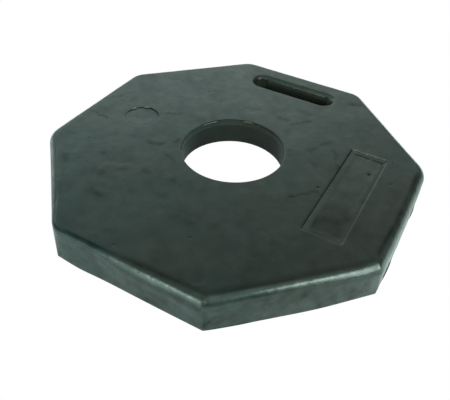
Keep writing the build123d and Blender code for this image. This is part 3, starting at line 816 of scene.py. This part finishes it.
# --------------------------------------------------------------- camera, stage
def camera():
    """The view that lays this octagon and its bore over the photograph's, for a 450 x 400 frame."""
    dist, az, el, roll, tx, ty, focal = 598.44, 28.05, 42.24, 2.49, 7.93, 30.48, 508.12
    a, e, q = math.radians(az), math.radians(el), math.radians(roll)
    back = Vector((math.sin(a) * math.cos(e), -math.cos(a) * math.cos(e), math.sin(e)))
    right = Vector((math.cos(a), math.sin(a), 0))
    up = back.cross(right)
    r2 = math.cos(q) * right + math.sin(q) * up
    u2 = -math.sin(q) * right + math.cos(q) * up
    at = (-tx * r2 - ty * u2 + dist * back) * MM
    data = bpy.data.cameras.new("camera")
    data.sensor_width = 36.0
    data.lens = focal / 450.0 * 36.0
    data.clip_start, data.clip_end = 0.01, 50.0
    ob = bpy.data.objects.new("camera", data)
    m = Matrix((r2, u2, back)).transposed().to_4x4()
    m.translation = at
    ob.matrix_world = m
    bpy.context.scene.collection.objects.link(ob)
    bpy.context.scene.camera = ob


camera()


def plane(name, half, z, material):
    me = bpy.data.meshes.new(name)
    me.from_pydata([(-half, -half, z), (half, -half, z), (half, half, z), (-half, half, z)], [], [(0, 1, 2, 3)])
    me.materials.append(material)
    ob = bpy.data.objects.new(name, me)
    bpy.context.scene.collection.objects.link(ob)
    return ob


def bowl(name, radius, z, material, n=48, m=12):
    """Floor that runs up into a dome, seen from inside."""
    verts, faces = [], []
    for k in range(m):
        e = math.pi / 2 * k / m
        verts += [(radius * math.cos(e) * math.cos(2 * math.pi * i / n), radius * math.cos(e) * math.sin(2 * math.pi * i / n), z + radius * math.sin(e)) for i in range(n)]
    verts.append((0, 0, z + radius))
    for k in range(m - 1):
        faces += [(k * n + i, (k + 1) * n + i, (k + 1) * n + (i + 1) % n, k * n + (i + 1) % n) for i in range(n)]
    faces += [((m - 1) * n + i, m * n, (m - 1) * n + (i + 1) % n) for i in range(n)]
    faces.append(tuple(range(n)))
    me = bpy.data.meshes.new(name)
    me.from_pydata(verts, [], faces)
    me.materials.append(material)
    ob = bpy.data.objects.new(name, me)
    bpy.context.scene.collection.objects.link(ob)
    return ob


def stage():
    """A white sweep that the camera sees evenly lit, and the studio floor that the object stands on and mirrors."""
    white = bpy.data.materials.new("sweep_white")
    white.use_nodes = True
    b = white.node_tree.nodes["Principled BSDF"]
    b.inputs["Base Color"].default_value = (0, 0, 0, 1)
    b.inputs["Specular IOR Level"].default_value = 0.0
    b.inputs["Emission Color"].default_value = (1, 1, 1, 1)
    b.inputs["Emission Strength"].default_value = 1.0
    sweep = bowl("sweep", 25.0, -0.0004, white)
    sweep.visible_diffuse = sweep.visible_glossy = sweep.visible_transmission = sweep.visible_volume_scatter = sweep.visible_shadow = False

    pale = bpy.data.materials.new("floor_pale")
    pale.use_nodes = True
    b = pale.node_tree.nodes["Principled BSDF"]
    b.inputs["Base Color"].default_value = (0.8, 0.8, 0.8, 1)
    b.inputs["Roughness"].default_value = 0.9
    pools(pale.node_tree, b, ((-0.28, -0.48, 0.75, 0.27), (0.25, -0.40, 0.55, 0.05), (0.48, -0.10, 0.55, 0.62), (0.235, -0.055, 0.065, 0.22), (0.18, 0.25, 0.14, 1.4),
                               (-0.42, 0.10, 0.32, 1.5), (-0.24, 0.40, 0.30, 1.5), (0.14, 0.48, 0.32, 1.5)))
    floor = plane("floor", 6.0, -0.0003, pale)
    floor.visible_camera = False


def pools(nt, bsdf, spots):
    """Soft pools of light on the floor: x, y, radius, brightness."""
    geo = nt.nodes.new("ShaderNodeNewGeometry")
    total = None
    for x, y, radius, level in spots:
        dist = nt.nodes.new("ShaderNodeVectorMath")
        dist.operation = "DISTANCE"
        dist.inputs[1].default_value = (x, y, 0)
        nt.links.new(geo.outputs["Position"], dist.inputs[0])
        fall = nt.nodes.new("ShaderNodeMapRange")
        fall.interpolation_type = "SMOOTHSTEP"
        for k, v in (("From Min", radius), ("From Max", 0.0), ("To Min", 0.0), ("To Max", level)):
            fall.inputs[k].default_value = v
        nt.links.new(dist.outputs["Value"], fall.inputs["Value"])
        if total is None:
            total = fall.outputs[0]
        else:
            add = nt.nodes.new("ShaderNodeMath")
            add.operation = "ADD"
            nt.links.new(total, add.inputs[0])
            nt.links.new(fall.outputs[0], add.inputs[1])
            total = add.outputs[0]
    bsdf.inputs["Emission Color"].default_value = (*TINT, 1)
    nt.links.new(total, bsdf.inputs["Emission Strength"])


TINT = (0.846, 1.043, 0.995)          # the studio light is a little green


def heading(az, el=0.0):
    """Direction at an azimuth from -Y towards +X and an elevation, degrees."""
    a, e = math.radians(az), math.radians(el)
    return Vector((math.sin(a) * math.cos(e), -math.cos(a) * math.cos(e), math.sin(e)))


def sky(bands):
    """World light as a sum of bands: (azimuth or None, ((sine of elevation, radiance), ...))."""
    world = bpy.data.worlds.new("studio")
    bpy.context.scene.world = world
    world.use_nodes = True
    nt = world.node_tree
    nt.nodes.clear()
    link = nt.links.new
    tc = nt.nodes.new("ShaderNodeTexCoord")
    sep = nt.nodes.new("ShaderNodeSeparateXYZ")
    link(tc.outputs["Generated"], sep.inputs[0])
    total = None
    for az, stops in bands:
        peak = max(v for _, v in stops)
        ramp = nt.nodes.new("ShaderNodeValToRGB")
        el = ramp.color_ramp.elements
        el[0].position, el[1].position = stops[0][0], stops[-1][0]
        el[0].color = (stops[0][1] / peak,) * 3 + (1,)
        el[1].color = (stops[-1][1] / peak,) * 3 + (1,)
        for pos, v in stops[1:-1]:
            el.new(pos).color = (v / peak,) * 3 + (1,)
        link(sep.outputs["Z"], ramp.inputs["Fac"])
        level = nt.nodes.new("ShaderNodeMath")
        level.operation = "MULTIPLY"
        level.inputs[1].default_value = peak
        link(ramp.outputs["Color"], level.inputs[0])
        value = level.outputs[0]
        if az is not None:
            dot = nt.nodes.new("ShaderNodeVectorMath")
            dot.operation = "DOT_PRODUCT"
            dot.inputs[1].default_value = heading(az)
            link(tc.outputs["Generated"], dot.inputs[0])
            side = nt.nodes.new("ShaderNodeMapRange")
            side.interpolation_type = "SMOOTHSTEP"
            side.inputs["From Min"].default_value, side.inputs["From Max"].default_value = 0.35, 0.9
            link(dot.outputs["Value"], side.inputs["Value"])
            cut = nt.nodes.new("ShaderNodeMath")
            cut.operation = "MULTIPLY"
            link(value, cut.inputs[0])
            link(side.outputs[0], cut.inputs[1])
            value = cut.outputs[0]
        if total is None:
            total = value
        else:
            add = nt.nodes.new("ShaderNodeMath")
            add.operation = "ADD"
            link(total, add.inputs[0])
            link(value, add.inputs[1])
            total = add.outputs[0]
    bg = nt.nodes.new("ShaderNodeBackground")
    bg.inputs["Color"].default_value = (*TINT, 1)
    link(total, bg.inputs["Strength"])
    out = nt.nodes.new("ShaderNodeOutputWorld")
    link(bg.outputs[0], out.inputs[0])


def softbox(name, az, el, w, h, radiance, dist=1.6, aim=(0, 0, 0.02)):
    """Area light facing the object, given by the brightness of its face."""
    d = heading(az, el)
    data = bpy.data.lights.new(name, "AREA")
    data.shape = "RECTANGLE"
    data.size, data.size_y = w, h
    data.energy = radiance * math.pi * w * h
    data.color = TINT
    ob = bpy.data.objects.new(name, data)
    ob.location = Vector(aim) + d * dist
    ob.rotation_mode = "QUATERNION"
    ob.rotation_quaternion = d.to_track_quat("Z", "Y")
    bpy.context.scene.collection.objects.link(ob)
    return ob


stage()
sky((
    (None, ((0.0, 0.02), (0.45, 0.02), (0.7, 0.50), (1.0, 0.10))),
    (0, ((0.0, 1.8), (0.2, 0.0), (1.0, 0.0))),
    (180, ((0.0, 0.45), (0.2, 0.0), (0.45, 0.56), (0.7, 0.0), (1.0, 0.0))),
    (240, ((0.0, 1.0), (0.2, 0.17), (0.45, 1.52), (0.7, 0.0), (1.0, 0.0))),
    (300, ((0.0, 0.52), (0.2, 0.0), (1.0, 0.0))),
))
softbox("box_left", -10, 27, 0.42, 0.34, 11.6)
softbox("box_left_spill", -9, 22, 0.82, 0.62, 3.7)
softbox("box_left_low", -10, 8, 0.90, 0.30, 2.4)
softbox("box_front", 16, 34, 0.70, 0.55, 1.4)
softbox("box_right_high", 66, 56, 0.50, 0.50, 0.8)
softbox("box_right", 82, 22, 0.74, 0.85, 9.2)
softbox("box_right_end", 66, 30, 0.18, 0.42, 15.0)
softbox("box_right_low", 80, 8, 0.90, 0.30, 1.3)
bpy.context.scene.view_settings.view_transform = "Standard"
